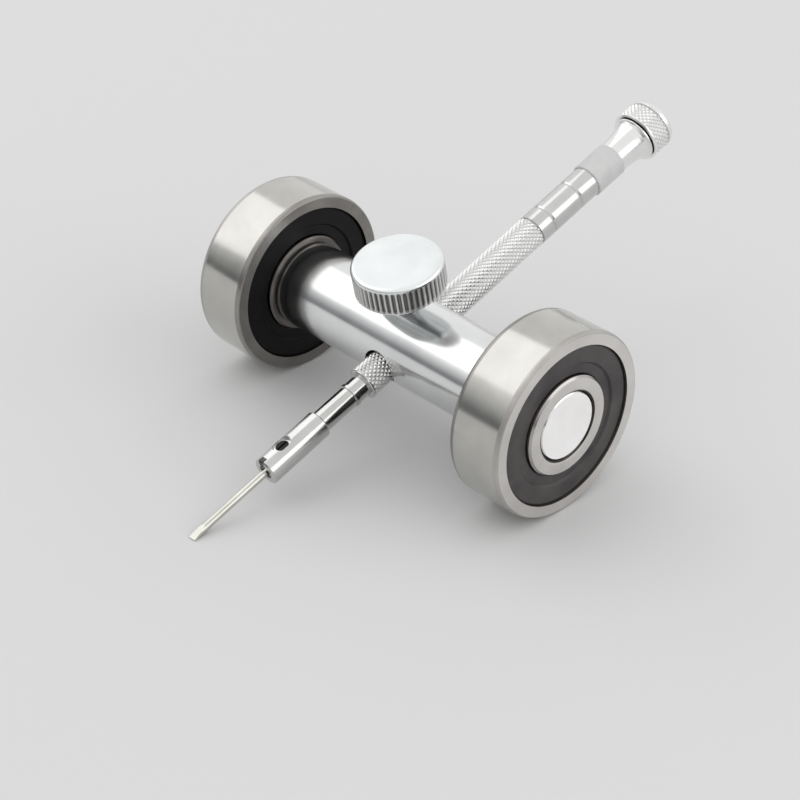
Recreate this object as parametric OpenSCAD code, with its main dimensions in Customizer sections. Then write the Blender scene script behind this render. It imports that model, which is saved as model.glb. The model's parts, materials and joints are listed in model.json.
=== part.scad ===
// A guide that rolls a small screwdriver over a flat stone on two ball bearings,
// so that the blade's tip meets the stone at one fixed angle.
// X runs along the axle, the blade points to -Y and down, the handle to +Y and up.
// The bearings and the blade's tip stand on the plane Z = 0.

/* [Bearings] */
// Outer diameter of each ball bearing, which is the wheel that rolls on the stone
bearing_od = 22; // [20:0.5:26]
// Width of each bearing
bearing_w = 7; // [6.5:0.1:8]
// Diameter of the axle journals, which is the bearings' bore
axle_d = 8; // [7.5:0.1:8.5]
// Diameter of one ball
ball_d = 3.969; // [3.6:0.001:4]
// Number of balls in each bearing
ball_count = 7; // [6:1:7]

/* [Barrel] */
// Width of the guide over the outer faces of both bearings
track_w = 48.4; // [40:0.1:60]
// Diameter of the barrel between the bearings
barrel_d = 10.3; // [9.8:0.1:11.5]

/* [Clamp] */
// Diameter of the knob over its teeth
knob_d = 10.5; // [8:0.1:12]
// Thickness of the knob
knob_h = 3.55; // [2.5:0.05:4]
// Distance from the axle's centre line to the knob's top face
knob_top = 11.3; // [10.6:0.1:13]
// Number of teeth round the knob
knob_teeth = 50; // [30:1:60]
// Thread diameter of the clamp's stud
stud_d = 3; // [2.6:0.1:3.2]
// How far the stud leans from square to the screwdriver, towards the blade
clamp_lean = 7.5; // [0:0.5:10]

/* [Blade and chuck] */
// Distance from the axle's centre to the blade's tip, along the screwdriver
tip_reach = 34.5; // [33:0.1:37]
// Length of blade that shows ahead of the chuck
blade_out = 11.2; // [10:0.1:12.5]
// Diameter of the blade's round shank
blade_d = 0.9; // [0.6:0.05:1]
// Width of the blade's flat tip
tip_w = 0.95; // [0.85:0.05:1.2]
// Thickness of the blade at its tip
tip_t = 0.15; // [0.1:0.01:0.2]
// Diameter of the chuck's nose
nose_d = 3.3; // [3:0.1:3.6]
// Length of the chuck's nose
nose_len = 8.5; // [7.5:0.1:9.5]
// Diameter of the chuck's slim waist
waist_d = 2.6; // [2.4:0.05:2.7]
// Length of the chuck's slim waist
waist_len = 4.9; // [4:0.1:6]
// Length of the chuck's collar, between its waist and the grip
collar_len = 1.9; // [1.5:0.1:2.5]
// Direction that the chuck's set screw faces, turned from +X towards the top
screw_turn = 98; // [80:1:120]

/* [Handle] */
// Diameter of the handle over its knurl
grip_d = 3.9; // [3.8:0.05:4.1]
// Length of the knurled grip
grip_len = 28.8; // [27:0.1:31]
// Number of knurl diamonds round the grip
grip_diamonds = 20; // [12:1:22]
// Length of the plain part behind the grip
plain_len = 9.7; // [8:0.1:12]
// Diameter of the plastic sleeve that shows the blade size
sleeve_d = 4.25; // [4.15:0.05:4.6]
// Length of the plastic sleeve
sleeve_len = 4.6; // [4:0.1:6]
// Length of the flared neck under the cap
neck_len = 4.1; // [3.8:0.1:5]
// Diameter of the neck where it meets the cap
flare_d = 5.8; // [5.2:0.1:6]
// Diameter of the swivel cap
cap_d = 6.4; // [6.2:0.1:7.5]
// Length of the swivel cap
cap_len = 3.6; // [3.3:0.1:5]
// Number of knurl diamonds round the cap
cap_diamonds = 30; // [20:1:34]

/* [Hidden] */

// Fineness of round surfaces
$fn = 96;
// Overlap that makes a cut run past a face
past = 0.5;
// Radial gap of a running fit
run_gap = 0.03;
// Gap between two pieces that bear on each other
touch_gap = 0.02;

// Bearings, each built round its own centre with +Z towards the outside of the guide
wheel_r = bearing_od / 2;
axle_r = axle_d / 2;
ball_r = ball_d / 2;
half_w = bearing_w / 2;
pitch_r = (wheel_r + axle_r) / 2;
race_r = ball_r + run_gap;
inner_land_r = pitch_r - 0.8 * ball_r;
outer_land_r = pitch_r + 0.7 * ball_r;
bearing_x = track_w / 2 - half_w;
ring_corner_r = 0.27;
ring_corner_w = 0.6;
wheel_turn = -2.4;
inner_corner = 0.22;
bore_corner_r = 0.5;
bore_corner_w = 0.5;
corner_steps = 4;

// Seals, pressed into a step in the outer ring
seal_bite = 0.6;
seal_r = outer_land_r + seal_bite;
seal_face = half_w - 0.3;
seal_back = half_w - 0.9;
lip_face = half_w - 0.55;
lip_back = half_w - 0.95;
lip_r = inner_land_r + run_gap;
lip_out_r = inner_land_r + 1.25;
seal_edge = 0.22;

// Cages, each two pressed ribbons riveted together between the balls
pocket_r = ball_r + 0.05;
ribbon_t = 0.35;
cage_in_r = pitch_r - 0.95;
cage_out_r = pitch_r + 0.95;
rivet_r = 0.35;
rivet_head_r = 0.55;
rivet_head_t = 0.2;

// Screwdriver, with its own axis as Z and the blade towards -Z
grip_r = grip_d / 2;
bore_gap = 0.25;
bore_r = grip_r + bore_gap;
sag = bore_gap - touch_gap;
tip_z = -tip_reach;
nose_z = tip_z + blade_out;
waist_z = nose_z + nose_len;
collar_z = waist_z + waist_len;
grip_z = collar_z + collar_len;
plain_z = grip_z + grip_len;
sleeve_z = plain_z + plain_len;
neck_z = sleeve_z + sleeve_len;
flare_z = neck_z + neck_len;
cap_gap = 0.2;
cap_z = flare_z + cap_gap;
end_z = cap_z + cap_len;

// The rake puts the tip's lower edge on the plane that the wheels stand on
tip_drop = sag + tip_t / 2;
rake = asin(wheel_r / sqrt(pow(tip_reach, 2) + pow(tip_drop, 2))) - atan(tip_drop / tip_reach);

// Blade
bevel_len = 2;
tip_flare_z = tip_z + 1.6;
tip_neck_z = tip_z + 3;
blade_in = 6.8;

// Chuck
nose_r = nose_d / 2;
nose_edge = 0.15;
waist_r = waist_d / 2;
collar_r = waist_r + 0.05;
ring_r = waist_r + 0.18;
ring_w = 0.35;
tang_r = 1.25;
tang_len = 7;
mouth_r = 0.85;
mouth_depth = 0.6;
notch_w = 0.85;
notch_depth = 0.7;
blade_gap = 0.02;
screw_z = nose_z + 3.2;
screw_r = 0.78;
screw_hole_r = 0.8;
screw_len = 0.8;
screw_slot_w = 0.25;
screw_slot_d = 0.3;
window_w = 1.7;
window_len = 2.4;
window_floor_r = nose_r - 0.4;

// Handle
knurl_depth = 0.14;
knurl_pitch = 0.72;
knurl_core = grip_r - 0.2;
rim_w = 0.2;
overlap = 0.05;
ring_groove_w = 0.5;
ring_groove_depth = 0.12;
groove_1_z = plain_z + 2.1;
groove_2_z = plain_z + 6.8;
tube_r = 1.55;
sleeve_r = sleeve_d / 2;
seat_r = grip_r - 0.12;
sleeve_edge = 0.12;

// Neck, with a web that holds the cap's pin
flare_r = flare_d / 2;
neck_r = 2;
neck_plug = 3.2;
neck_wall = 0.42;
neck_bore_r = tube_r - neck_wall;
web_t = 0.55;
flare_edge = 0.15;
flare_steps = 8;

// Swivel cap
cap_r = cap_d / 2;
cap_round = 0.8;
cap_wall = 0.45;
cap_front_edge = 0.15;
cap_boss_r = 1;
cap_knurl_front = 0.3;
cap_knurl_back = 0.15;
cap_knurl_depth = 0.13;
cap_knurl_pitch = 0.6;
pin_r = 0.5;
pin_head_r = 0.9;
pin_head_t = 0.4;
pin_end_gap = 0.15;

// Clamp, with the stud's axis as Z and the axle's centre at 0
stud_r = stud_d / 2;
barrel_r = barrel_d / 2;
dog_r = 1.2;
dog_len = 0.2;
dog_taper = 0.25;
ball_z = (grip_r - sag + touch_gap + dog_r) / cos(clamp_lean);
knob_r = knob_d / 2;
knob_z = knob_top - knob_h;
knob_edge = 0.22;
knob_rim = 0.45;
tooth_h = 0.32;
tooth_over = 0.1;
tooth_corners = [0, 0.3, 0.52, 0.78];
stud_in_knob = 2.8;
stud_edge = 0.2;
tap_mouth = 0.25;

// Barrel
shoulder_x = track_w / 2 - bearing_w;
axle_end_x = track_w / 2 - 0.1;
axle_edge = 0.12;
barrel_edge = 0.3;

// The origin is under the centre of the box round the whole guide
front_y = -tip_reach * cos(rake) + (sag - tip_t / 2) * sin(rake);
back_y = (end_z - cap_round) * cos(rake) + (sag + cap_r - cap_round) * sin(rake) + cap_round;
shift_y = -(front_y + back_y) / 2;

// Points of an elliptical corner, from the side round to the face; below zero, corner_r rounds a bore
function round_corner(r, z, corner_r, corner_z) = [
    for (i = [0 : corner_steps])
        let (a = 90 * i / corner_steps)
        [r - corner_r * (1 - cos(a)), z - corner_z * (1 - sin(a))]
];

// The same list of points mirrored to the other face, in reverse order
function mirrored(points) = [
    for (i = [len(points) - 1 : -1 : 0])
        [points[i][0], -points[i][1]]
];

// Points of one ring of a diamond knurl: crests and valleys alternate
function knurl_ring(r, depth, count, z, row, rows) = [
    for (j = [0 : count - 1])
        let (low = row == 0 || row == rows || (row + j) % 2 == 1)
        let (point_r = low ? r - depth : r)
        [point_r * cos(360 * j / count), point_r * sin(360 * j / count), z]
];

// Places a solid built round the axle's centre
module at_axle() {
    translate([0, shift_y, wheel_r])
        children();
}

// Places a bearing piece on the left side (-1) or the right side (1)
module at_bearing(side) {
    at_axle()
        mirror([side < 0 ? 1 : 0, 0, 0])
            translate([bearing_x, 0, 0])
                rotate([0, 90, 0])
                    children();
}

// Places a solid built along the screwdriver's axis, with -Y as its top side
module at_driver() {
    at_axle()
        rotate([rake - 90, 0, 0])
            translate([0, sag, 0])
                children();
}

// Places a solid built along the clamp's stud
module at_clamp() {
    at_axle()
        rotate([rake - clamp_lean, 0, 0])
            children();
}

// A solid of diamond pyramids round a rod, flat at both ends
module knurled_rod(r, depth, diamonds, from_z, to_z, pitch) {
    count = 2 * diamonds;
    rows = 2 * round((to_z - from_z) / pitch);
    points = [
        for (i = [0 : rows])
            each knurl_ring(r, depth, count, from_z + (to_z - from_z) * i / rows, i, rows)
    ];
    sides = [
        for (i = [0 : rows - 1], j = [0 : count - 1])
            let (a = i * count + j)
            let (b = i * count + (j + 1) % count)
            let (c = b + count)
            let (d = a + count)
            each (i + j) % 2 == 1 ? [[a, d, c], [a, c, b]] : [[a, d, b], [d, c, b]]
    ];
    bottom = [for (j = [0 : count - 1]) j];
    top = [for (j = [count - 1 : -1 : 0]) rows * count + j];
    polyhedron(points = points, faces = concat(sides, [bottom, top]));
}

// The axle and barrel in one piece, cross-drilled for the screwdriver and tapped for the clamp
module barrel() {
    half = [
        [0, axle_end_x],
        [axle_r - axle_edge, axle_end_x],
        [axle_r, axle_end_x - axle_edge],
        [axle_r, shoulder_x],
        [barrel_r - barrel_edge, shoulder_x],
        [barrel_r, shoulder_x - barrel_edge]
    ];
    color("gainsboro")
        difference() {
            at_axle()
                rotate([0, 90, 0])
                    rotate_extrude()
                        polygon(concat(half, mirrored(half)));
            at_axle()
                rotate([rake - 90, 0, 0])
                    cylinder(h = 2 * barrel_d, r = bore_r, center = true);
            at_clamp()
                translate([0, 0, 1])
                    cylinder(h = barrel_r, r = stud_r + run_gap);
            at_clamp()
                translate([0, 0, barrel_r - tap_mouth])
                    cylinder(h = 2 * tap_mouth, r1 = stud_r, r2 = stud_r + 2 * tap_mouth);
        }
}

// The groove that the balls run in
module race() {
    rotate_extrude()
        translate([pitch_r, 0])
            circle(r = race_r);
}

module inner_ring(side) {
    half = concat(
        round_corner(axle_r, half_w, -bore_corner_r, bore_corner_w),
        [[inner_land_r - inner_corner, half_w], [inner_land_r, half_w - inner_corner]]
    );
    color("lightgray")
        at_bearing(side)
            difference() {
                rotate_extrude()
                    polygon(concat(half, mirrored(half)));
                race();
            }
}

module outer_ring(side) {
    corner = round_corner(wheel_r, half_w, ring_corner_r, ring_corner_w);
    seat = [
        [seal_r, half_w],
        [seal_r, seal_back],
        [outer_land_r, seal_back]
    ];
    half = concat(corner, seat);
    color("silver")
        at_bearing(side)
            rotate([0, 0, wheel_turn])
                difference() {
                    rotate_extrude()
                        polygon(concat(half, mirrored(half)));
                    race();
                }
}

module balls(side) {
    color("whitesmoke")
        at_bearing(side)
            for (i = [0 : ball_count - 1])
                rotate([0, 0, 360 * i / ball_count])
                    translate([pitch_r, 0, 0])
                        sphere(r = ball_r);
}

// One pressed ribbon of the cage, on the outboard (1) or the inboard (-1) side of the balls
module cage_half(side, face) {
    cup_r = pocket_r + ribbon_t;
    color("darkkhaki")
        at_bearing(side)
            mirror([0, 0, face < 0 ? 1 : 0])
                difference() {
                    intersection() {
                        difference() {
                            cylinder(h = cup_r, r = cage_out_r);
                            translate([0, 0, -past])
                                cylinder(h = cup_r + 2 * past, r = cage_in_r);
                        }
                        union() {
                            cylinder(h = ribbon_t, r = cage_out_r + past);
                            for (i = [0 : ball_count - 1])
                                rotate([0, 0, 360 * i / ball_count])
                                    translate([pitch_r, 0, 0])
                                        sphere(r = cup_r);
                        }
                    }
                    for (i = [0 : ball_count - 1])
                        rotate([0, 0, 360 * i / ball_count])
                            translate([pitch_r, 0, 0])
                                sphere(r = pocket_r);
                    for (i = [0 : ball_count - 1])
                        rotate([0, 0, 360 * (i + 0.5) / ball_count])
                            translate([pitch_r, 0, -past])
                                cylinder(h = ribbon_t + 2 * past, r = rivet_r);
                }
}

module cage_rivets(side) {
    color("tan")
        at_bearing(side)
            for (i = [0 : ball_count - 1])
                rotate([0, 0, 360 * (i + 0.5) / ball_count])
                    translate([pitch_r, 0, 0]) {
                        cylinder(h = 2 * ribbon_t, r = rivet_r, center = true);
                        for (end = [0, 1])
                            mirror([0, 0, end])
                                translate([0, 0, ribbon_t])
                                    cylinder(h = rivet_head_t, r = rivet_head_r);
                    }
}

// A rubber seal, on the outboard (1) or the inboard (-1) face of its bearing
module seal(side, face) {
    profile = [
        [seal_r, seal_back],
        [seal_r, seal_face - seal_edge],
        [seal_r - seal_edge, seal_face],
        [lip_out_r + seal_edge, seal_face],
        [lip_out_r, lip_face],
        [lip_r + seal_edge / 2, lip_face],
        [lip_r, (lip_face + lip_back) / 2],
        [lip_r, lip_back],
        [lip_out_r, lip_back],
        [lip_out_r + seal_edge, seal_back]
    ];
    color("dimgray")
        at_bearing(side)
            mirror([0, 0, face < 0 ? 1 : 0])
                rotate_extrude()
                    polygon(profile);
}

// The clamp's stud: a ball end bears on the grip, the other end is fixed in the knob
module clamp_stud() {
    top_z = knob_z + stud_in_knob;
    full_z = ball_z + dog_len + dog_taper;
    color("silver")
        at_clamp() {
            translate([0, 0, ball_z])
                sphere(r = dog_r);
            translate([0, 0, ball_z])
                cylinder(h = dog_len, r = dog_r);
            translate([0, 0, ball_z + dog_len])
                cylinder(h = dog_taper, r1 = dog_r, r2 = stud_r);
            translate([0, 0, full_z])
                cylinder(h = top_z - stud_edge - full_z, r = stud_r);
            translate([0, 0, top_z - stud_edge])
                cylinder(h = stud_edge, r1 = stud_r, r2 = stud_r - stud_edge);
        }
}

// The knob's outline: straight teeth with flat roots, whose crests the knob's own round cuts off
function knob_outline() = [
    for (i = [0 : knob_teeth - 1], k = [0 : 3])
        let (a = 360 * (i + tooth_corners[k]) / knob_teeth)
        let (r = k < 2 ? knob_r - tooth_h : knob_r + tooth_over)
        [r * cos(a), r * sin(a)]
];

module clamp_knob() {
    shell = [
        [0, knob_z],
        [knob_r - knob_edge, knob_z],
        [knob_r, knob_z + knob_edge],
        [knob_r, knob_top - knob_edge],
        [knob_r - knob_edge, knob_top],
        [0, knob_top]
    ];
    color("gainsboro")
        at_clamp()
            difference() {
                intersection() {
                    union() {
                        translate([0, 0, knob_z - past])
                            linear_extrude(height = knob_h + past - knob_rim)
                                polygon(knob_outline());
                        translate([0, 0, knob_top - knob_rim])
                            cylinder(h = knob_rim + past, r = knob_r + past);
                    }
                    rotate_extrude()
                        polygon(shell);
                }
                translate([0, 0, knob_z - past])
                    cylinder(h = past + stud_in_knob + touch_gap, r = stud_r + run_gap);
            }
}

// The blade: a round shank, a little wider at the tip and bevelled on two sides
module blade() {
    shank_r = blade_d / 2;
    back_z = nose_z + blade_in;
    outline = [
        [0, tip_z],
        [tip_w / 2, tip_z],
        [tip_w / 2, tip_flare_z],
        [shank_r, tip_neck_z],
        [shank_r, back_z],
        [0, back_z]
    ];
    bevel = [
        [-tip_t / 2, tip_z],
        [tip_t / 2, tip_z],
        [shank_r, tip_z + bevel_len],
        [tip_w, tip_neck_z],
        [tip_w, back_z],
        [-tip_w, back_z],
        [-tip_w, tip_neck_z],
        [-shank_r, tip_z + bevel_len]
    ];
    color("lightsteelblue")
        at_driver()
            intersection() {
                rotate_extrude()
                    polygon(outline);
                rotate([90, 0, 90])
                    linear_extrude(height = 2 * tip_w, center = true)
                        polygon(bevel);
            }
}

// Turns a solid built towards +X to the side that the chuck's set screw faces
module at_chuck_screw() {
    rotate([0, 0, -screw_turn])
        translate([0, 0, screw_z])
            rotate([0, 90, 0])
                children();
}

module blade_screw() {
    low = blade_d / 2 + touch_gap;
    color("dimgray")
        at_driver()
            at_chuck_screw()
                difference() {
                    translate([0, 0, low])
                        cylinder(h = screw_len, r = screw_r);
                    translate([-screw_r - past, -screw_slot_w / 2, low + screw_len - screw_slot_d])
                        cube([2 * (screw_r + past), screw_slot_w, screw_slot_d + past]);
                }
}

module chuck() {
    outline = [
        [0, nose_z],
        [nose_r - nose_edge, nose_z],
        [nose_r, nose_z + nose_edge],
        [nose_r, waist_z - nose_edge],
        [nose_r - nose_edge, waist_z],
        [waist_r, waist_z],
        [waist_r, collar_z - ring_w / 2],
        [ring_r, collar_z - ring_w / 2],
        [ring_r, collar_z + ring_w / 2],
        [collar_r, collar_z + ring_w / 2],
        [collar_r, grip_z],
        [tang_r, grip_z],
        [tang_r, grip_z + tang_len],
        [0, grip_z + tang_len]
    ];
    window_half = (window_len - window_w) / 2;
    color("silver")
        at_driver()
            difference() {
                rotate_extrude()
                    polygon(outline);
                translate([0, 0, nose_z - past])
                    cylinder(h = past + blade_in + touch_gap, r = blade_d / 2 + blade_gap);
                translate([0, 0, nose_z - past])
                    cylinder(h = past + mouth_depth, r = mouth_r);
                rotate([0, 0, -screw_turn])
                    translate([0, -notch_w / 2, nose_z - past])
                        cube([nose_d, notch_w, past + notch_depth]);
                at_chuck_screw()
                    cylinder(h = nose_d, r = screw_hole_r);
                at_chuck_screw()
                    translate([0, 0, window_floor_r])
                        linear_extrude(height = nose_d) {
                            square([2 * window_half, window_w], center = true);
                            for (end = [-1, 1])
                                translate([end * window_half, 0])
                                    circle(d = window_w);
                        }
            }
}

// A step down and up again that makes a turned ring groove
function groove_points(r, z) = [
    [r, z - ring_groove_w / 2],
    [r - ring_groove_depth, z],
    [r, z + ring_groove_w / 2]
];

module handle() {
    knurl_from = grip_z + rim_w;
    knurl_to = plain_z;
    outline = concat(
        [[0, grip_z], [grip_r - rim_w / 2, grip_z], [grip_r, grip_z + rim_w / 2]],
        [[grip_r, knurl_from], [knurl_core, knurl_from]],
        [[knurl_core, knurl_to], [grip_r, knurl_to]],
        groove_points(grip_r, groove_1_z),
        groove_points(grip_r, groove_2_z),
        [[grip_r, sleeve_z], [seat_r, sleeve_z]],
        [[seat_r, neck_z], [0, neck_z]]
    );
    color("gainsboro")
        at_driver()
            difference() {
                union() {
                    rotate_extrude()
                        polygon(outline);
                    knurled_rod(grip_r, knurl_depth, grip_diamonds,
                        knurl_from - overlap, knurl_to + overlap, knurl_pitch);
                }
                translate([0, 0, grip_z - past])
                    cylinder(h = past + tang_len + past, r = tang_r);
                translate([0, 0, grip_z + tang_len])
                    cylinder(h = neck_z - grip_z - tang_len + past, r = tube_r);
            }
}

module size_sleeve() {
    outline = [
        [seat_r, sleeve_z],
        [sleeve_r - sleeve_edge, sleeve_z],
        [sleeve_r, sleeve_z + sleeve_edge],
        [sleeve_r, neck_z - sleeve_edge],
        [sleeve_r - sleeve_edge, neck_z],
        [seat_r, neck_z]
    ];
    color("darkgray")
        at_driver()
            rotate_extrude()
                polygon(outline);
}

// Points of the neck's hollow curve, slow at first and steep under the cap
function neck_curve(from_r, to_r, from_z, to_z) = [
    for (i = [0 : flare_steps])
        let (a = 90 * i / flare_steps)
        [from_r + (to_r - from_r) * (1 - cos(a)), from_z + (to_z - from_z) * sin(a)]
];

module neck() {
    web_z = flare_z - web_t;
    outer = neck_curve(neck_r, flare_r, neck_z, flare_z - flare_edge);
    inner = neck_curve(neck_bore_r, flare_r - 2 * neck_wall, neck_z + neck_wall, web_z);
    outline = concat(
        [[neck_bore_r, neck_z - neck_plug], [tube_r, neck_z - neck_plug], [tube_r, neck_z]],
        outer,
        [[flare_r, flare_z], [pin_r + run_gap, flare_z], [pin_r + run_gap, web_z]],
        [for (i = [flare_steps : -1 : 0]) inner[i]]
    );
    color("silver")
        at_driver()
            rotate_extrude()
                polygon(outline);
}

module swivel_cap() {
    knurl_from = cap_z + cap_knurl_front;
    knurl_to = end_z - cap_round - cap_knurl_back;
    core = cap_r - 0.2;
    outline = [
        [0, cap_z],
        [cap_r - cap_front_edge, cap_z],
        [cap_r, cap_z + cap_front_edge],
        [cap_r, knurl_from],
        [core, knurl_from],
        [core, knurl_to],
        [cap_r, knurl_to],
        [cap_r, end_z - cap_round],
        [0, end_z - cap_round]
    ];
    color("gainsboro")
        at_driver()
            difference() {
                union() {
                    rotate_extrude()
                        polygon(outline);
                    rotate_extrude() {
                        translate([0, end_z - cap_round])
                            square([cap_r - cap_round, cap_round]);
                        intersection() {
                            translate([cap_r - cap_round, end_z - cap_round])
                                circle(r = cap_round);
                            translate([cap_r - cap_round, end_z - cap_round])
                                square(cap_round);
                        }
                    }
                    knurled_rod(cap_r, cap_knurl_depth, cap_diamonds,
                        knurl_from - overlap, knurl_to + overlap, cap_knurl_pitch);
                }
                difference() {
                    translate([0, 0, cap_z - past])
                        cylinder(h = cap_len - cap_wall + past, r = cap_r - cap_wall);
                    translate([0, 0, cap_z])
                        cylinder(h = cap_len, r = cap_boss_r);
                }
                translate([0, 0, cap_z - past])
                    cylinder(h = cap_len - cap_wall + past, r = pin_r);
            }
}

module cap_pin() {
    head_z = flare_z - web_t - pin_end_gap - pin_head_t;
    tail_z = end_z - cap_wall - pin_end_gap;
    color("lightsteelblue")
        at_driver() {
            translate([0, 0, head_z])
                cylinder(h = pin_head_t, r = pin_head_r);
            translate([0, 0, head_z])
                cylinder(h = tail_z - head_z, r = pin_r);
        }
}

barrel();
inner_ring(-1);  // left_inner_ring
inner_ring(1);  // right_inner_ring
outer_ring(-1);  // left_outer_ring
outer_ring(1);  // right_outer_ring
balls(-1);  // left_balls
balls(1);  // right_balls
cage_half(-1, -1);  // left_cage_inboard
cage_half(1, -1);  // right_cage_inboard
cage_half(-1, 1);  // left_cage_outboard
cage_half(1, 1);  // right_cage_outboard
cage_rivets(-1);  // left_cage_rivets
cage_rivets(1);  // right_cage_rivets
seal(-1, -1);  // left_seal_inboard
seal(1, -1);  // right_seal_inboard
seal(-1, 1);  // left_seal_outboard
seal(1, 1);  // right_seal_outboard
clamp_stud();
clamp_knob();
blade();
blade_screw();
chuck();
handle();
size_sleeve();
neck();
swivel_cap();
cap_pin();
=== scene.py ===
"""A roller guide for sharpening small screwdrivers, with a screwdriver clamped in it."""

import json
import math

import bmesh
import bpy
from mathutils import Matrix, Vector


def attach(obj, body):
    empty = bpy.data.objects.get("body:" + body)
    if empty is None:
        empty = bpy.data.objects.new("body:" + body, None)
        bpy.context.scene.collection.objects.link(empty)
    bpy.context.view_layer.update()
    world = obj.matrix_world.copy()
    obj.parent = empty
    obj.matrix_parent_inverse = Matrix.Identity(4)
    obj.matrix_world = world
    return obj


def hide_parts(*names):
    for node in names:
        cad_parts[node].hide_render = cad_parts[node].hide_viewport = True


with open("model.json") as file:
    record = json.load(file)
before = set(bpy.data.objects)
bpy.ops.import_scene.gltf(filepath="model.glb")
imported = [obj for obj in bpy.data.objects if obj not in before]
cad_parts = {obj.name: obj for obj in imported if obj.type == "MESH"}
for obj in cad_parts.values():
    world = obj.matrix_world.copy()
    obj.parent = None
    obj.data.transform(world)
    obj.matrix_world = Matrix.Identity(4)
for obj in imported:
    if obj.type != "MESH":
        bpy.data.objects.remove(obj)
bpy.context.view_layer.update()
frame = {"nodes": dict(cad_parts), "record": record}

# Lengths below are in mm, and this turns them into metres
MM = 0.001


# The three axes that the pieces are turned and moved about


def along(axis, aside, origin):
    """A frame at origin whose Z runs along axis, with its Y square to the vector aside."""
    z = axis.normalized()
    y = z.cross(aside).normalized()
    x = y.cross(z)
    return Matrix(((x.x, y.x, z.x, origin.x), (x.y, y.y, z.y, origin.y),
                   (x.z, y.z, z.z, origin.z), (0, 0, 0, 1)))


# How far the screwdriver's axis passes below the axle's centre
SAG = 0.23

joints = {joint["name"]: joint for joint in frame["record"]["behaviour"]["joints"]}
AXLE_CENTRE = Vector(joints["left_wheel_spin"]["pos_m"])
DRIVER_AXIS = Vector(joints["driver_slide"]["axis"]).normalized()
CLAMP_AXIS = Vector(joints["clamp_travel"]["axis"]).normalized()
ACROSS = Vector((1, 0, 0))
BACK = Vector((0, 1, 0))
DRIVER_UP = ACROSS.cross(DRIVER_AXIS).normalized()
AXLE = along(ACROSS, BACK, AXLE_CENTRE)
DRIVER = along(DRIVER_AXIS, ACROSS, AXLE_CENTRE - DRIVER_UP * SAG * MM)
CLAMP = along(CLAMP_AXIS, ACROSS, AXLE_CENTRE)


# Materials

# Nearly all values of a noise lie between these two
NOISE_LOW = 0.3
NOISE_HIGH = 0.7
# How far smudges and lines move a metal's roughness up and down
METAL_ROUGH_SPREAD = 0.04
# Sizes of what marks the surfaces. Real moulded grain is too fine to show, so it is drawn coarser
SMUDGE_SIZE = 5
MOULD_RING_SIZE = 0.25
RUBBER_GRAIN_SIZE = 0.12
RUBBER_BLOOM_SIZE = 4
PLASTIC_GRAIN_SIZE = 0.15
PLASTIC_SHADE_SIZE = 2
# How far rings and grain stand up from a moulding
MOULDED_RELIEF = 0.004
# Below this value of its noise, the rubber has no bloom
BLOOM_START = 0.35
# The rubber's roughness, clean and with a full bloom
RUBBER_ROUGHNESS = (0.4, 0.55)
RUBBER_IOR = 1.52
PLASTIC_ROUGHNESS = 0.45
PLASTIC_IOR = 1.53


def tone(code):
    """The linear colour of an sRGB hex value."""
    parts = [int(code[i:i + 2], 16) / 255 for i in (1, 3, 5)]
    return tuple(p / 12.92 if p <= 0.04045 else ((p + 0.055) / 1.055) ** 2.4 for p in parts) + (1,)


def add(tree, kind, values=None, **settings):
    """Adds a node with its settings, and sets or links its inputs."""
    made = tree.nodes.new(kind)
    for key, value in settings.items():
        setattr(made, key, value)
    for key, value in (values or {}).items():
        if isinstance(value, bpy.types.NodeSocket):
            tree.links.new(value, made.inputs[key])
        else:
            made.inputs[key].default_value = value
    return made


def new_material(name):
    material = bpy.data.materials.new(name)
    material.use_nodes = True
    material.node_tree.nodes.clear()
    return material, material.node_tree


def own_frame(tree, axis_frame):
    """Where a point lies in one of the frames above, and how far from that frame's axis."""
    spot = add(tree, "ShaderNodeTexCoord").outputs["Object"]
    local = add(tree, "ShaderNodeMapping", {
        "Vector": spot, "Location": axis_frame.to_translation(), "Rotation": axis_frame.to_euler(),
    }, vector_type="TEXTURE").outputs["Vector"]
    flat = add(tree, "ShaderNodeVectorMath", {0: local, 1: (1, 1, 0)}, operation="MULTIPLY")
    radius = add(tree, "ShaderNodeVectorMath", {0: flat.outputs["Vector"]}, operation="LENGTH")
    return local, radius.outputs["Value"]


def drift(tree, value, start, end, start_tone, end_tone):
    """A colour that goes from one tone to another while a value goes from start to end."""
    share = add(tree, "ShaderNodeMapRange", {
        "Value": value, "From Min": start, "From Max": end,
    }).outputs["Result"]
    return add(tree, "ShaderNodeMix", {
        "Factor": share, "A": start_tone, "B": end_tone,
    }, data_type="RGBA").outputs["Result"]


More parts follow.
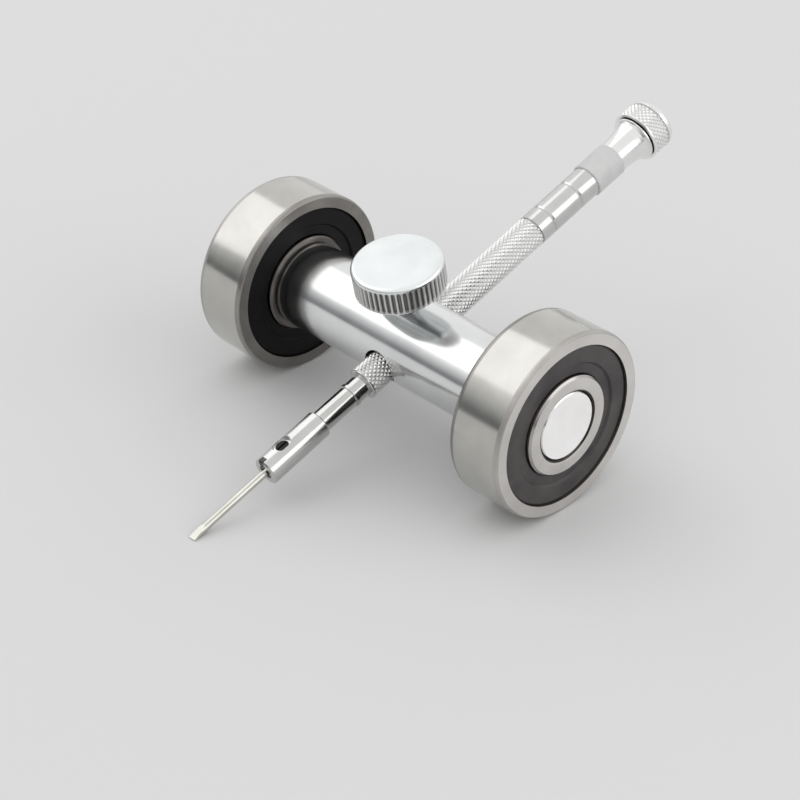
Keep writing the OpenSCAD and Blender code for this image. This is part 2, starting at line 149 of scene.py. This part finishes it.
def turned_metal(name, light, dark, roughness, lines, axis_frame, line_depth=0.0006,
                 anisotropic=0.0, painted_shade=None):
    """Metal finished on a lathe or grinder: fine lines run round the axis of its frame.

    The real lines are a few hundredths of a millimetre apart, too fine to show here, so they are
    drawn as coarse as lines says. painted_shade is the tone of a shade painted into the roots of a
    knurl or a corner, and the radii between which it fades out.
    """
    material, tree = new_material(name)
    local, radius = own_frame(tree, axis_frame)
    height = add(tree, "ShaderNodeSeparateXYZ", {"Vector": local}).outputs["Z"]
    section = add(tree, "ShaderNodeCombineXYZ", {"X": radius, "Y": height}).outputs["Vector"]
    line_noise = add(tree, "ShaderNodeTexNoise", {
        "Vector": section, "Scale": 1 / (lines * MM), "Detail": 3, "Roughness": 0.6,
    }).outputs["Fac"]
    smudge = add(tree, "ShaderNodeTexNoise", {
        "Vector": local, "Scale": 1 / (SMUDGE_SIZE * MM), "Detail": 4, "Roughness": 0.55, "Distortion": 0.3,
    }).outputs["Fac"]
    colour = drift(tree, smudge, NOISE_LOW, NOISE_HIGH, tone(dark), tone(light))
    # A painted shade, darkest at the inner radius, in a knurl's roots or a corner
    if painted_shade:
        painted_shade_tone, full_shade_radius, unshaded_radius = painted_shade
        colour = drift(tree, radius, full_shade_radius * MM, unshaded_radius * MM, tone(painted_shade_tone), colour)
    both = add(tree, "ShaderNodeMath", {0: line_noise, 1: smudge}, operation="ADD").outputs["Value"]
    rough = add(tree, "ShaderNodeMapRange", {
        "Value": both, "From Min": 2 * NOISE_LOW, "From Max": 2 * NOISE_HIGH,
        "To Min": roughness - METAL_ROUGH_SPREAD, "To Max": roughness + METAL_ROUGH_SPREAD,
    }).outputs["Result"]
    bump = add(tree, "ShaderNodeBump", {
        "Strength": 1.0, "Distance": line_depth * MM, "Height": line_noise,
    }).outputs["Normal"]
    shader = add(tree, "ShaderNodeBsdfPrincipled", {
        "Base Color": colour, "Metallic": 1.0, "Roughness": rough, "Normal": bump,
        "Anisotropic": anisotropic,
    })
    add(tree, "ShaderNodeOutputMaterial", {"Surface": shader.outputs["BSDF"]})
    return material


def moulded_rubber(name, light, dark, specular):
    """Nitrile rubber moulded in a turned die: dark, satin, with faint rings and a bloom."""
    material, tree = new_material(name)
    local, radius = own_frame(tree, AXLE)
    rings = add(tree, "ShaderNodeTexNoise", {
        "Vector": radius, "Scale": 1 / (MOULD_RING_SIZE * MM), "Detail": 2,
    }).outputs["Fac"]
    grain = add(tree, "ShaderNodeTexNoise", {
        "Vector": local, "Scale": 1 / (RUBBER_GRAIN_SIZE * MM), "Detail": 3,
    }).outputs["Fac"]
    bloom = add(tree, "ShaderNodeTexNoise", {
        "Vector": local, "Scale": 1 / (RUBBER_BLOOM_SIZE * MM), "Detail": 5, "Distortion": 0.5,
    }).outputs["Fac"]
    colour = drift(tree, bloom, BLOOM_START, NOISE_HIGH, tone(dark), tone(light))
    height = add(tree, "ShaderNodeMath", {0: rings, 1: grain}, operation="ADD").outputs["Value"]
    bump = add(tree, "ShaderNodeBump", {
        "Strength": 1.0, "Distance": MOULDED_RELIEF * MM, "Height": height,
    }).outputs["Normal"]
    clean_rough, bloom_rough = RUBBER_ROUGHNESS
    rough = add(tree, "ShaderNodeMapRange", {
        "Value": bloom, "From Min": NOISE_LOW, "From Max": NOISE_HIGH,
        "To Min": clean_rough, "To Max": bloom_rough,
    }).outputs["Result"]
    shader = add(tree, "ShaderNodeBsdfPrincipled", {
        "Base Color": colour, "Roughness": rough, "IOR": RUBBER_IOR, "Normal": bump,
        "Specular IOR Level": specular,
    })
    add(tree, "ShaderNodeOutputMaterial", {"Surface": shader.outputs["BSDF"]})
    return material


def moulded_plastic(name, light, dark):
    """Matt grey polyamide: even colour with a fine moulded grain."""
    material, tree = new_material(name)
    spot = add(tree, "ShaderNodeTexCoord").outputs["Object"]
    grain = add(tree, "ShaderNodeTexNoise", {
        "Vector": spot, "Scale": 1 / (PLASTIC_GRAIN_SIZE * MM), "Detail": 3,
    }).outputs["Fac"]
    shade = add(tree, "ShaderNodeTexNoise", {
        "Vector": spot, "Scale": 1 / (PLASTIC_SHADE_SIZE * MM), "Detail": 3,
    }).outputs["Fac"]
    colour = drift(tree, shade, NOISE_LOW, NOISE_HIGH, tone(dark), tone(light))
    bump = add(tree, "ShaderNodeBump", {
        "Strength": 1.0, "Distance": MOULDED_RELIEF * MM, "Height": grain,
    }).outputs["Normal"]
    shader = add(tree, "ShaderNodeBsdfPrincipled", {
        "Base Color": colour, "Roughness": PLASTIC_ROUGHNESS, "IOR": PLASTIC_IOR, "Normal": bump,
    })
    add(tree, "ShaderNodeOutputMaterial", {"Surface": shader.outputs["BSDF"]})
    return material


# Polished stainless steel, turned: bright, with a soft broad highlight
BARREL = turned_metal("polished_stainless_steel", light="#eaebeb", dark="#dfe0e0",
                      roughness=0.17, lines=0.12, axis_frame=AXLE, anisotropic=0.3)
# The axle's faced end: fine turning marks scatter the light, so it looks almost white
AXLE_FACE = turned_metal("faced_stainless_steel", light="#ffffff", dark="#faf8f7",
                         roughness=0.72, lines=0.16, axis_frame=AXLE)
# Bearing steel, ground round: a warm grey with crisp reflections drawn out along the axle
RING = turned_metal("ground_bearing_steel", light="#c8c7c2", dark="#bbbab5",
                    roughness=0.15, lines=0.1, axis_frame=AXLE)
# The rings' corners stay as the lathe left them: a duller band between the rim and the face
CORNER = turned_metal("turned_bearing_steel", light="#c1bebb", dark="#aeaba7",
                      roughness=0.38, lines=0.1, axis_frame=AXLE)
# Inboard the corners carry a painted shade for their place between the wheels, so they look darker
SHADED_CORNER = turned_metal("turned_steel_painted_shade", light="#a3a09c", dark="#908d89",
                            roughness=0.26, lines=0.1, axis_frame=AXLE)
# The flat faces are ground on a disc, so they are paler and more satin than the rim
RING_FACE = turned_metal("disc_ground_bearing_steel", light="#e2dfdb", dark="#d3d0cc",
                         roughness=0.3, lines=0.12, axis_frame=AXLE)
# The inboard faces are the same ground steel, duller and darkened by a painted shade for their place
# between the wheels
SHADED_FACE = turned_metal("bearing_steel_painted_shade", light="#96938f", dark="#7b7874",
                          roughness=0.3, lines=0.12, axis_frame=AXLE)
# A painted shade in the corner beside the axle: a dark ring round its bright end
INNER = turned_metal("ground_inner_ring_steel", light="#b5b2b0", dark="#a4a19f",
                     roughness=0.2, lines=0.1, axis_frame=AXLE, painted_shade=("#3d3a39", 4.25, 4.52))
# The inner ring's inboard end carries the darkest painted shade, a brownish dark grey
SHADED_INNER = turned_metal("inner_ring_steel_painted_shade", light="#7b7774", dark="#5a5754",
                           roughness=0.3, lines=0.12, axis_frame=AXLE)
# Bearing steel, lapped into balls: almost a mirror, and evenly bright
BALL = turned_metal("lapped_bearing_steel", light="#d6d7d8", dark="#cccdce",
                    roughness=0.06, lines=0.2, axis_frame=AXLE)
# Steel strip, pressed into ribbons: a dull, warm grey, since oil clings to it
CAGE = turned_metal("pressed_steel_strip", light="#a59c92", dark="#8f867c",
                    roughness=0.35, lines=0.3, axis_frame=AXLE)
# Nitrile rubber, moulded: near black and dull, darkened further by a painted shade between the wheels
RUBBER = moulded_rubber("moulded_nitrile_rubber", light="#0e0e0f", dark="#0a0a0b", specular=0.15)
# The same rubber outboard, where handling leaves a warm grey bloom
DUSTY_RUBBER = moulded_rubber("handled_nitrile_rubber", light="#4f4a4a", dark="#332f30", specular=0.4)
# Turned steel with a rolled thread: grey, with a bright line on each crest
STUD = turned_metal("turned_steel", light="#bfc0c1", dark="#aeafb0",
                    roughness=0.25, lines=0.1, axis_frame=CLAMP)
# Nickel-plated brass, turned: a cool white with a soft sheen on the top
KNOB = turned_metal("nickel_plated_brass", light="#f0f3f3", dark="#e7eaea",
                    roughness=0.24, lines=0.1, axis_frame=CLAMP)
# The same plate over the rolled grooves: bright crests, with a painted shade in the grooves
KNOB_TEETH = turned_metal("knurled_nickel_plate", light="#eaeae9", dark="#dededd",
                          roughness=0.42, lines=0.1, axis_frame=CLAMP, painted_shade=("#868584", 4.97, 5.21))
# Nickel-plated brass, turned fine: clear streaks of light and dark along the nose
CHUCK = turned_metal("nickel_plated_chuck_brass", light="#d2d3d1", dark="#c4c5c2",
                     roughness=0.17, lines=0.1, axis_frame=DRIVER, line_depth=0.0003)
# Tool steel, centreless ground: a pale steel grey with a soft highlight along it
BLADE = turned_metal("ground_tool_steel", light="#d4d3cc", dark="#c2c1b9",
                     roughness=0.24, lines=0.15, axis_frame=DRIVER)
# Aluminium, turned bright: nearly white, with clear bands of reflection
GRIP = turned_metal("bright_aluminium", light="#d3d3d2", dark="#c4c4c3",
                    roughness=0.18, lines=0.1, axis_frame=DRIVER)
# Aluminium, turned and polished: whiter than the grip, with soft broad highlights
CAP_BRIGHT = turned_metal("polished_aluminium", light="#f2f2f1", dark="#e6e6e5",
                          roughness=0.2, lines=0.1, axis_frame=DRIVER)
# Aluminium, knurled by a roller: satin crests, with a little painted shade between the diamonds
KNURL = turned_metal("rolled_knurl_aluminium", light="#f2f2f1", dark="#e6e6e5",
                     roughness=0.36, lines=0.1, axis_frame=DRIVER, painted_shade=("#c3c2c0", 1.8, 1.88))
# The cap's finer knurl has less painted shade in it, so it looks paler
CAP_KNURL = turned_metal("fine_knurl_aluminium", light="#f4f4f3", dark="#eaeae9",
                         roughness=0.36, lines=0.1, axis_frame=DRIVER, painted_shade=("#cfcecd", 3.06, 3.14))
# Blackened steel, turned: dark and dull at the bottom of its window
SCREW = turned_metal("blackened_steel", light="#33322f", dark="#242321",
                     roughness=0.4, lines=0.1, axis_frame=DRIVER)
# Polyamide, moulded: an even, matt, neutral grey
SLEEVE = moulded_plastic("matt_polyamide", light="#cfcfce", dark="#c3c3c3")


# Which faces of a solid get which finish

# How squarely a face looks along an axis: the least for a flat end face, the least for a slope
# that still counts as part of an end, and the most for a face of a knurl
SQUARE = 0.97
SLOPING = 0.3
KNURLED = 0.9
# The axle's ends lie beyond this distance from the middle
AXLE_END = 24
# The middle of each bearing, and how far from it the rim's corners and the inner ring's end begin
BEARING_MIDDLE = 20.7
RIM_HALF = 2.88
INNER_RING_HALF = 2.5
# The rim's corners lie outside this radius
CORNER_R = 10.6
# The knurls along the screwdriver, from start to end, and the radius that their roots stay above
GRIP_KNURL = (-7.78, 20.82, 1.7)
FINE_KNURL = (39.65, 42.1, 2.95)


def level(axis_frame, point):
    """How far a point lies along a frame's axis, and how far from it, in mm."""
    inside = axis_frame.inverted() @ point
    return inside.z / MM, inside.xy.length / MM


def in_knurl(centre, normal, knurl):
    height, radius = level(DRIVER, centre)
    start, end, root = knurl
    return start < height < end and radius > root and abs(normal.dot(DRIVER_AXIS)) < KNURLED


def on_end(centre, normal):
    return abs(normal.x) > SQUARE and abs(centre.x) > AXLE_END * MM


def on_outboard_face(centre, normal):
    return abs(normal.x) > SQUARE and normal.x * centre.x > 0


def on_inboard_face(centre, normal):
    return abs(normal.x) > SQUARE and normal.x * centre.x < 0


def inboard_of_inner_ring(centre, normal):
    beyond = abs(abs(centre.x) / MM - BEARING_MIDDLE) > INNER_RING_HALF
    return beyond and abs(normal.x) > SLOPING and normal.x * centre.x < 0


def on_ring_corner(centre, normal):
    height, radius = level(AXLE, centre)
    return abs(normal.x) < SQUARE and radius > CORNER_R and abs(abs(height) - BEARING_MIDDLE) > RIM_HALF


def on_inboard_corner(centre, normal):
    return on_ring_corner(centre, normal) and normal.x * centre.x < 0


def on_grip_knurl(centre, normal):
    return in_knurl(centre, normal, GRIP_KNURL)


def on_cap_knurl(centre, normal):
    return in_knurl(centre, normal, FINE_KNURL)


FINISHES = {
    "barrel": [BARREL, (AXLE_FACE, on_end)],
    "blade": [BLADE],
    "blade_screw": [SCREW],
    "chuck": [CHUCK],
    "handle": [GRIP, (KNURL, on_grip_knurl)],
    "size_sleeve": [SLEEVE],
    "neck": [CAP_BRIGHT],
    "swivel_cap": [CAP_BRIGHT, (CAP_KNURL, on_cap_knurl)],
    "cap_pin": [STUD],
}
for side in ("left", "right"):
    FINISHES.update({
        f"{side}_inner_ring": [INNER, (RING_FACE, on_outboard_face), (SHADED_INNER, inboard_of_inner_ring)],
        f"{side}_outer_ring": [RING, (RING_FACE, on_outboard_face), (SHADED_FACE, on_inboard_face),
                               (CORNER, on_ring_corner), (SHADED_CORNER, on_inboard_corner)],
        f"{side}_balls": [BALL],
        f"{side}_cage_inboard": [CAGE],
        f"{side}_cage_outboard": [CAGE],
        f"{side}_cage_rivets": [CAGE],
        f"{side}_seal_inboard": [RUBBER],
        f"{side}_seal_outboard": [DUSTY_RUBBER],
    })

# Edges that bend more than this, in degrees, stay crisp
CRISP = 28
RING_CRISP = 14
STUD_CRISP = 40
KNOB_CRISP = 18


def shade(piece, crisp_angle):
    """Smooth shading in which flat faces stay flat and crisp edges stay crisp."""
    piece.data.shade_smooth()
    piece.data.set_sharp_from_angle(angle=math.radians(crisp_angle))
    flat_faces = piece.modifiers.new("flat_faces", "WEIGHTED_NORMAL")
    flat_faces.keep_sharp = True


for name, (main_finish, *others) in FINISHES.items():
    solid = frame["nodes"][name]
    mesh = solid.data
    mesh.materials.clear()
    mesh.materials.append(main_finish)
    for slot, (finish, test) in enumerate(others, 1):
        mesh.materials.append(finish)
        for face in mesh.polygons:
            if test(face.center, face.normal):
                face.material_index = slot
    shade(solid, RING_CRISP if name.endswith("outer_ring") else CRISP)


# Clamp

# The stud. Heights run up the clamp's axis from the axle's centre
STUD_R = 1.5
STUD_SIDES = 32
STUD_TOP = 10.55
STUD_CHAMFER_WIDE = 0.32
STUD_CHAMFER_HIGH = 0.2
BALL_END_R = 1.2
BALL_END_MIDDLE = 2.965
BALL_END_RINGS = 8
BALL_END_TOP = BALL_END_MIDDLE + 0.2
THREAD_START = BALL_END_MIDDLE + 0.45
THREAD_PITCH = 0.5
THREAD_DEPTH = 0.3
# Shares of half a pitch, from the middle of the crest: its flat part, and then the flank
CREST_SHARE = 0.15
FLANK_SHARE = 0.6
RINGS_A_TURN = 10

# The knob
KNOB_R = 5.25
KNOB_TOP = 11.3
KNOB_LOW = 7.75
FOOT_EDGE = 0.22
HOLE_R = STUD_R + 0.03
HOLE_TOP = STUD_TOP + 0.02
SHOULDER_HIGH = 0.46
SHOULDER_WIDE = 0.42
SHOULDER_STEPS = 8
# The shoulder turns in by this much before it meets the top in an edge
SHOULDER_BEND = math.radians(62)
GROOVES = 50
GROOVE_LOW = KNOB_LOW + 0.28
GROOVE_HIGH = KNOB_TOP - 0.48
GROOVE_DEPTH = 0.3
GROOVE_HALF = 0.235
ROOT_HALF = 0.1
# A groove's rounded end, and the shares of it at which a ring of points lies
GROOVE_END = 0.34
GROOVE_END_STEPS = (0.06, 0.15, 0.3, 0.5, 0.75, 1.0)
# The share of the groove's width that its points keep on a ring that isn't cut
GROOVE_TIP = 0.34
# How much sooner than its width a groove reaches its depth
GROOVE_SCOOP = 1.25


def skin(name, rings, finishes, slots):
    """A closed skin over rings of points in the clamp's frame, in their order along its outline.

    slots gives, for each band between two rings, the number of its finish.
    """
    made = bmesh.new()
    grid = [[made.verts.new(CLAMP @ (Vector(point) * MM)) for point in ring] for ring in rings]
    for lower, upper, slot in zip(grid, grid[1:], slots):
        for k in range(len(lower)):
            after = (k + 1) % len(lower)
            face = made.faces.new((lower[k], lower[after], upper[after], upper[k]))
            face.material_index = slot
    made.faces.new(grid[0][::-1])
    made.faces.new(grid[-1])
    mesh = bpy.data.meshes.new(name)
    made.to_mesh(mesh)
    made.free()
    for finish in finishes:
        mesh.materials.append(finish)
    piece = bpy.data.objects.new(name, mesh)
    bpy.context.collection.objects.link(piece)
    return piece


def thread_depth(height, angle):
    """How deep the thread's groove is at a height and angle: flat crest, flat root."""
    turn = (height / THREAD_PITCH - angle / math.tau) % 1.0
    from_crest = min(turn, 1 - turn) * 2
    return THREAD_DEPTH * min(max((from_crest - CREST_SHARE) / FLANK_SHARE, 0), 1)


def stud_ring(height, radius, threaded):
    ring = []
    for k in range(STUD_SIDES):
        angle = math.tau * k / STUD_SIDES
        r = radius - thread_depth(height, angle) if threaded else radius
        ring.append((r * math.cos(angle), r * math.sin(angle), height))
    return ring


def threaded_stud():
    """The clamp's stud with its rolled thread, a ball end at the bottom and a chamfer on top."""
    thread_end = STUD_TOP - STUD_CHAMFER_HIGH
    thread_rings = round((thread_end - THREAD_START) / (THREAD_PITCH / RINGS_A_TURN))
    ball_angles = [math.pi / 2 * i / BALL_END_RINGS for i in range(1, BALL_END_RINGS + 1)]
    rings = [stud_ring(BALL_END_MIDDLE - BALL_END_R * math.cos(a), BALL_END_R * math.sin(a), False)
             for a in ball_angles]
    rings.append(stud_ring(BALL_END_TOP, BALL_END_R, False))
    rings += [stud_ring(THREAD_START + (thread_end - THREAD_START) * i / thread_rings, STUD_R, True)
              for i in range(thread_rings + 1)]
    rings.append(stud_ring(STUD_TOP, STUD_R - STUD_CHAMFER_WIDE, False))
    stud = skin("threaded_stud", rings, [STUD], [0] * (len(rings) - 1))
    shade(stud, STUD_CRISP)
    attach(stud, "clamp_screw")
    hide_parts("clamp_stud")


def knob_ring(height, radius, open_share=GROOVE_TIP, depth=0.0):
    """One ring of the knob: each groove open to a share of its width, and cut to a depth."""
    section = ((-GROOVE_HALF, 0), (-ROOT_HALF, depth), (0, depth), (ROOT_HALF, depth), (GROOVE_HALF, 0))
    ring = []
    for groove in range(GROOVES):
        middle = math.tau * groove / GROOVES
        for offset, cut in section:
            angle = middle + offset * open_share / KNOB_R
            ring.append(((radius - cut) * math.cos(angle), (radius - cut) * math.sin(angle), height))
        crest = middle + math.pi / GROOVES
        ring.append((radius * math.cos(crest), radius * math.sin(crest), height))
    return ring


def shoulder_ring(bend):
    """The ring of the knob's shoulder where it has turned in by an angle."""
    rise = math.sin(bend) / math.sin(SHOULDER_BEND)
    inset = (1 - math.cos(bend)) / (1 - math.cos(SHOULDER_BEND))
    return knob_ring(KNOB_TOP - SHOULDER_HIGH * (1 - rise), KNOB_R - SHOULDER_WIDE * inset)


def grooved_knob():
    """The clamp's knob: rolled grooves with rounded ends, and a broad round shoulder."""
    ends = [(step, math.sqrt(1 - (1 - step) ** 2)) for step in GROOVE_END_STEPS]
    cuts = [(GROOVE_LOW + GROOVE_END * step, share) for step, share in ends]
    cuts += [(GROOVE_HIGH - GROOVE_END * step, share) for step, share in reversed(ends)]
    hole_and_foot = [knob_ring(HOLE_TOP, HOLE_R), knob_ring(KNOB_LOW, HOLE_R),
                     knob_ring(KNOB_LOW, KNOB_R - FOOT_EDGE), knob_ring(KNOB_LOW + FOOT_EDGE, KNOB_R)]
    grooved = [knob_ring(height, KNOB_R, share, GROOVE_DEPTH * min(1, GROOVE_SCOOP * share))
               for height, share in cuts]
    grooved = [knob_ring(GROOVE_LOW, KNOB_R)] + grooved + [knob_ring(GROOVE_HIGH, KNOB_R)]
    shoulder = [shoulder_ring(SHOULDER_BEND * i / SHOULDER_STEPS) for i in range(SHOULDER_STEPS + 1)]
    slots = [0] * len(hole_and_foot) + [1] * (len(grooved) - 1) + [0] * len(shoulder)
    knob = skin("grooved_knob", hole_and_foot + grooved + shoulder, [KNOB, KNOB_TEETH], slots)
    shade(knob, KNOB_CRISP)
    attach(knob, "clamp_head")
    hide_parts("clamp_knob")


threaded_stud()
grooved_knob()


# Studio, with lengths in metres

FLOOR_HALF = 3.0
FLOOR_TONE = "#d2d2d2"
FLOOR_ROUGHNESS = 0.9
# The tent goes from grey to white along this direction, between these two heights along it
TENT_WHITE_WAY = (0, 0.3, 1)
TENT_GREY_END = -0.15
TENT_WHITE_START = 0.3
TENT_GREY = "#7e8082"
TENT_WHITE = "#ffffff"
TENT_POWER = 0.94
# The camera stands and aims at these places, in mm from the axle's centre
CAMERA_SPOT = (150.53, -145.36, 133.26)
CAMERA_AIM = (0, -1.68, -7.52)
CAMERA_LENS = 98.46
CAMERA_SENSOR = 36
CAMERA_ROLL = math.radians(-0.3)
# It sees what lies between these distances, in metres
CAMERA_NEAR = 0.01
CAMERA_FAR = 20


def studio_floor():
    mesh = bpy.data.meshes.new("floor")
    corners = [(-FLOOR_HALF, -FLOOR_HALF, 0), (FLOOR_HALF, -FLOOR_HALF, 0),
               (FLOOR_HALF, FLOOR_HALF, 0), (-FLOOR_HALF, FLOOR_HALF, 0)]
    mesh.from_pydata(corners, [], [(0, 1, 2, 3)])
    floor = bpy.data.objects.new("floor", mesh)
    bpy.context.collection.objects.link(floor)
    # Paper, uncoated: an even, pale grey with no shine
    material, tree = new_material("matt_paper")
    shader = add(tree, "ShaderNodeBsdfPrincipled", {
        "Base Color": tone(FLOOR_TONE), "Roughness": FLOOR_ROUGHNESS,
    })
    add(tree, "ShaderNodeOutputMaterial", {"Surface": shader.outputs["BSDF"]})
    mesh.materials.append(material)


def softbox(name, spot, size, power):
    """A soft rectangular lamp at a spot, turned towards the axle's centre."""
    light = bpy.data.lights.new(name, "AREA")
    light.shape = "RECTANGLE"
    light.size, light.size_y = size
    light.energy = power
    lamp = bpy.data.objects.new(name, light)
    bpy.context.collection.objects.link(lamp)
    lamp.location = spot
    lamp.rotation_euler = (AXLE_CENTRE - Vector(spot)).to_track_quat("-Z", "Y").to_euler()


def studio_tent():
    """A white tent, open and darker low down in front of the blade."""
    world = bpy.data.worlds.new("studio")
    bpy.context.scene.world = world
    world.use_nodes = True
    tree = world.node_tree
    tree.nodes.clear()
    look = add(tree, "ShaderNodeTexCoord").outputs["Generated"]
    height = add(tree, "ShaderNodeVectorMath", {0: look, 1: TENT_WHITE_WAY}, operation="DOT_PRODUCT")
    colour = drift(tree, height.outputs["Value"], TENT_GREY_END, TENT_WHITE_START,
                   tone(TENT_GREY), tone(TENT_WHITE))
    background = add(tree, "ShaderNodeBackground", {"Color": colour, "Strength": TENT_POWER})
    add(tree, "ShaderNodeOutputWorld", {"Surface": background.outputs["Background"]})


def camera():
    data = bpy.data.cameras.new("camera")
    data.sensor_width = CAMERA_SENSOR
    data.lens = CAMERA_LENS
    data.clip_start = CAMERA_NEAR
    data.clip_end = CAMERA_FAR
    eye = bpy.data.objects.new("camera", data)
    bpy.context.collection.objects.link(eye)
    spot = AXLE_CENTRE + Vector(CAMERA_SPOT) * MM
    aim = AXLE_CENTRE + Vector(CAMERA_AIM) * MM
    turn = (aim - spot).to_track_quat("-Z", "Y").to_matrix().to_4x4()
    eye.matrix_world = Matrix.Translation(spot) @ turn @ Matrix.Rotation(CAMERA_ROLL, 4, "Z")
    bpy.context.scene.camera = eye


studio_floor()
studio_tent()
softbox("key_softbox", spot=(-0.40, -0.12, 0.48), size=(0.62, 0.62), power=0.8)
softbox("fill_softbox", spot=(0.50, 0.27, 0.34), size=(0.7, 0.38), power=0.85)
camera()

scene = bpy.context.scene
scene.view_settings.view_transform = "Standard"
